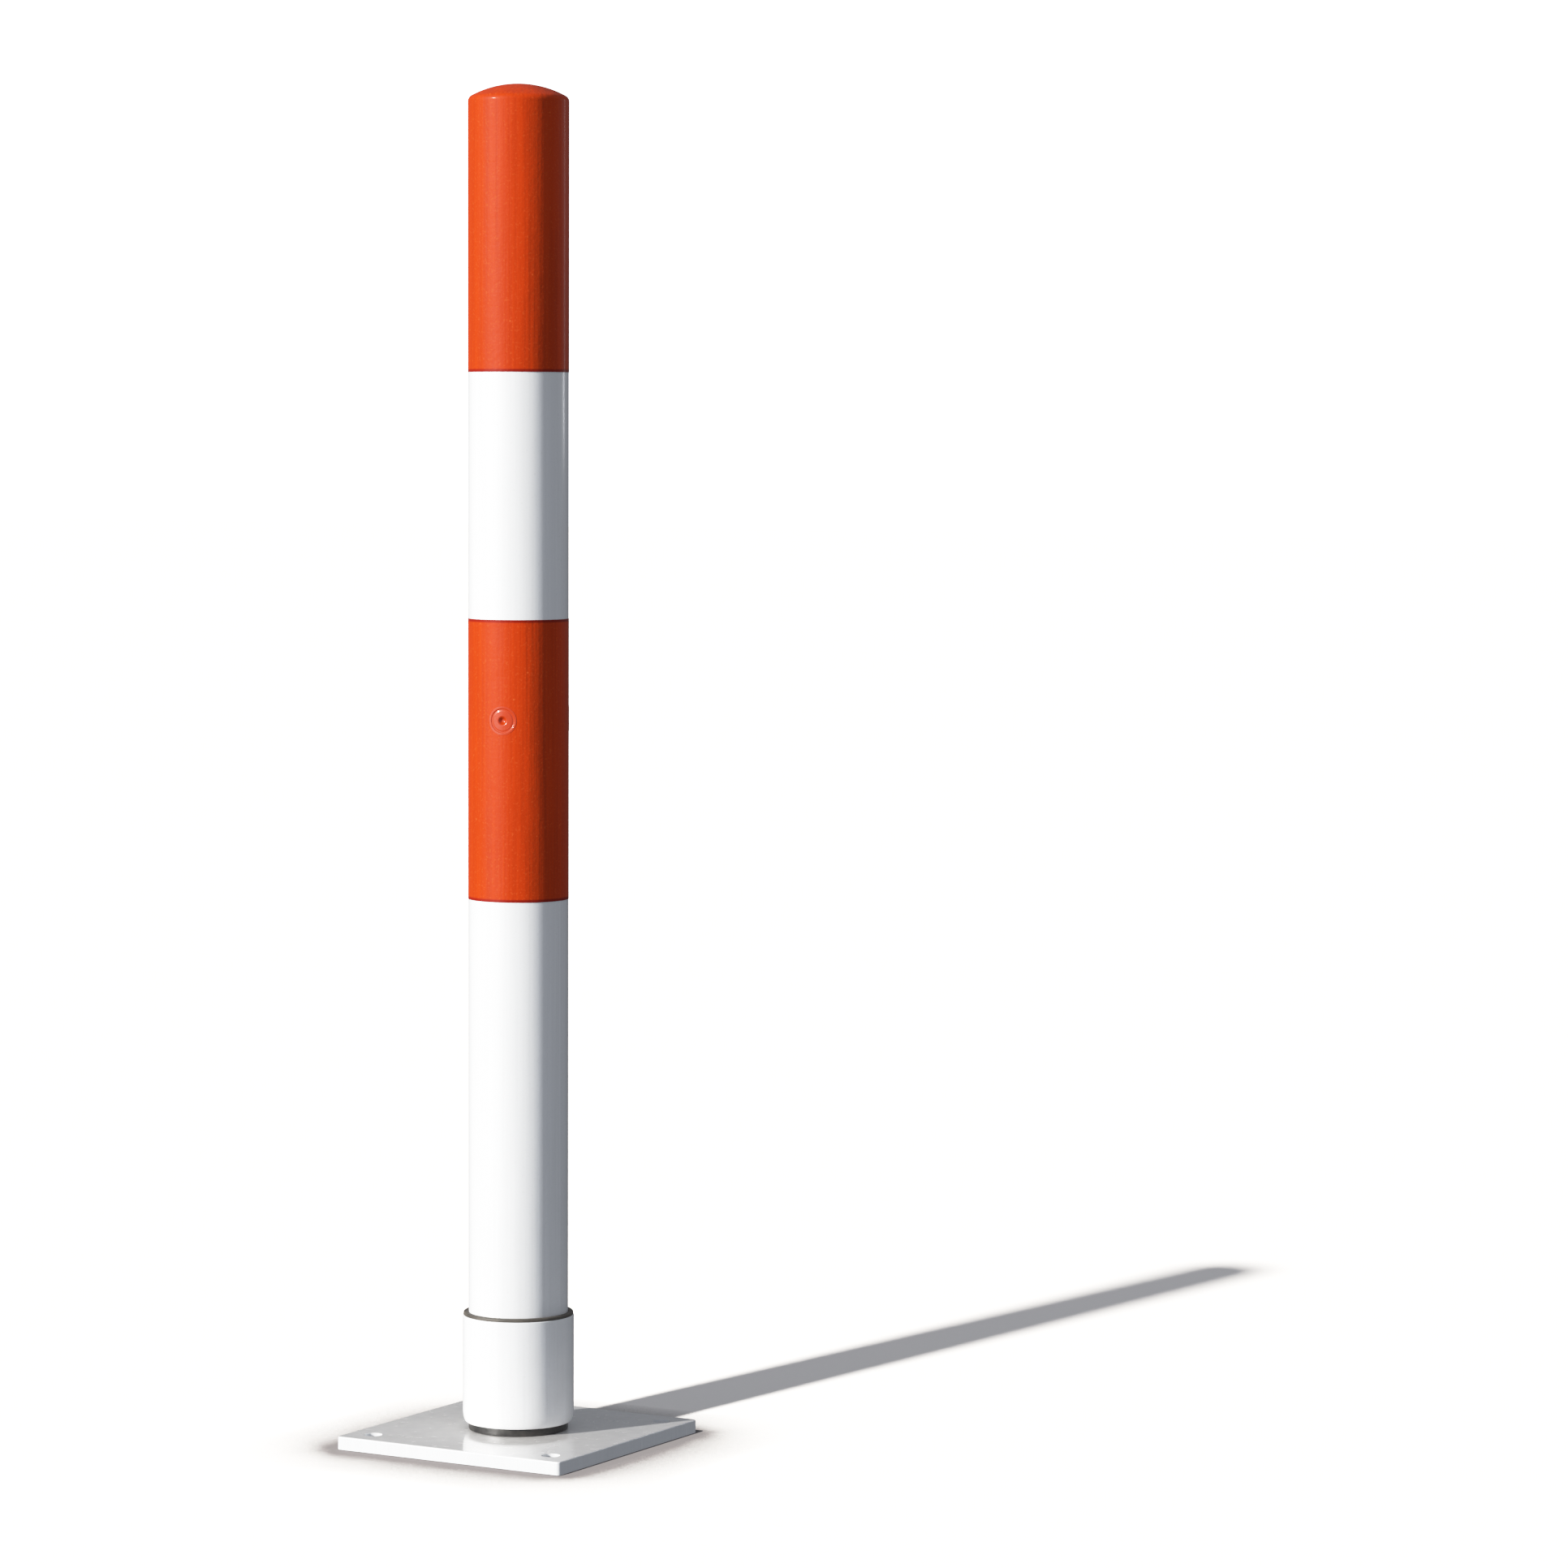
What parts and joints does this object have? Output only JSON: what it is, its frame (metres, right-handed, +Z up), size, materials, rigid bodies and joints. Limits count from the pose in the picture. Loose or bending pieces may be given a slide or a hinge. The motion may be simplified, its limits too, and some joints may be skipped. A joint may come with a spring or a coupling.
{
  "type": "self-righting bollard",
  "caption": "Banded steel barrier post on a square bolt-down plate, seated in a short collar over a rubber foot, held upright by an inner tie rod and spring.",
  "frame": {"origin": "centre of the base plate's underside", "axes": "+Z up along the post; X and Y along the base plate's edges, with a seat screw of the post a little to +X of -Y"},
  "size_m": [0.2, 0.2, 1.035],
  "materials": {
    "white_enamel": "gloss",
    "white_powder": "satin",
    "red_film": "satin",
    "red_paint": "satin",
    "black_rubber": "matte",
    "zinc_steel": "satin",
    "spring_steel": "satin",
    "bronze": "satin",
    "nylon": "matte"
  },
  "bodies": {
    "base": {"base_plate": "white_enamel", "fork_bush": "bronze"},
    "swivel": {"pivot_fork": "zinc_steel", "retaining_washer": "zinc_steel", "retaining_screw": "zinc_steel", "pivot_pin": "zinc_steel", "pin_clips": "spring_steel", "rubber_block": "black_rubber"},
    "foot": {"tie_rod": "zinc_steel", "eye_bush": "bronze", "collar": "white_powder", "pressure_plate": "zinc_steel", "top_seal": "black_rubber", "spring_washer": "zinc_steel", "preload_nut": "zinc_steel", "lock_nut": "zinc_steel", "compression_spring": "spring_steel"},
    "post": {"post_tube": "white_powder", "band_upper": "red_film", "band_lower": "red_film", "end_cap": "red_paint", "rod_guide": "nylon", "spring_seat": "zinc_steel", "seat_screws": "red_paint"}
  },
  "joints": [
    {"name": "post_turn", "type": "hinge", "parent": "base", "child": "swivel", "pos_m": [0, 0, 0.01], "axis": [0, 0, 1], "continuous": true},
    {"name": "post_tilt", "type": "hinge", "parent": "swivel", "child": "foot", "pos_m": [0, 0, 0.0282], "axis": [0, 1, 0], "range_deg": [-8, 8], "stiffness_Nm_per_rad": 1200, "deforming": ["rubber_block"]},
    {"name": "post_lift", "type": "slide", "parent": "foot", "child": "post", "axis": [0, 0, 1], "range_m": [0, 0.025], "stiffness_N_per_m": 24000, "springref_m": -0.04, "deforming": ["compression_spring"]}
  ]
}
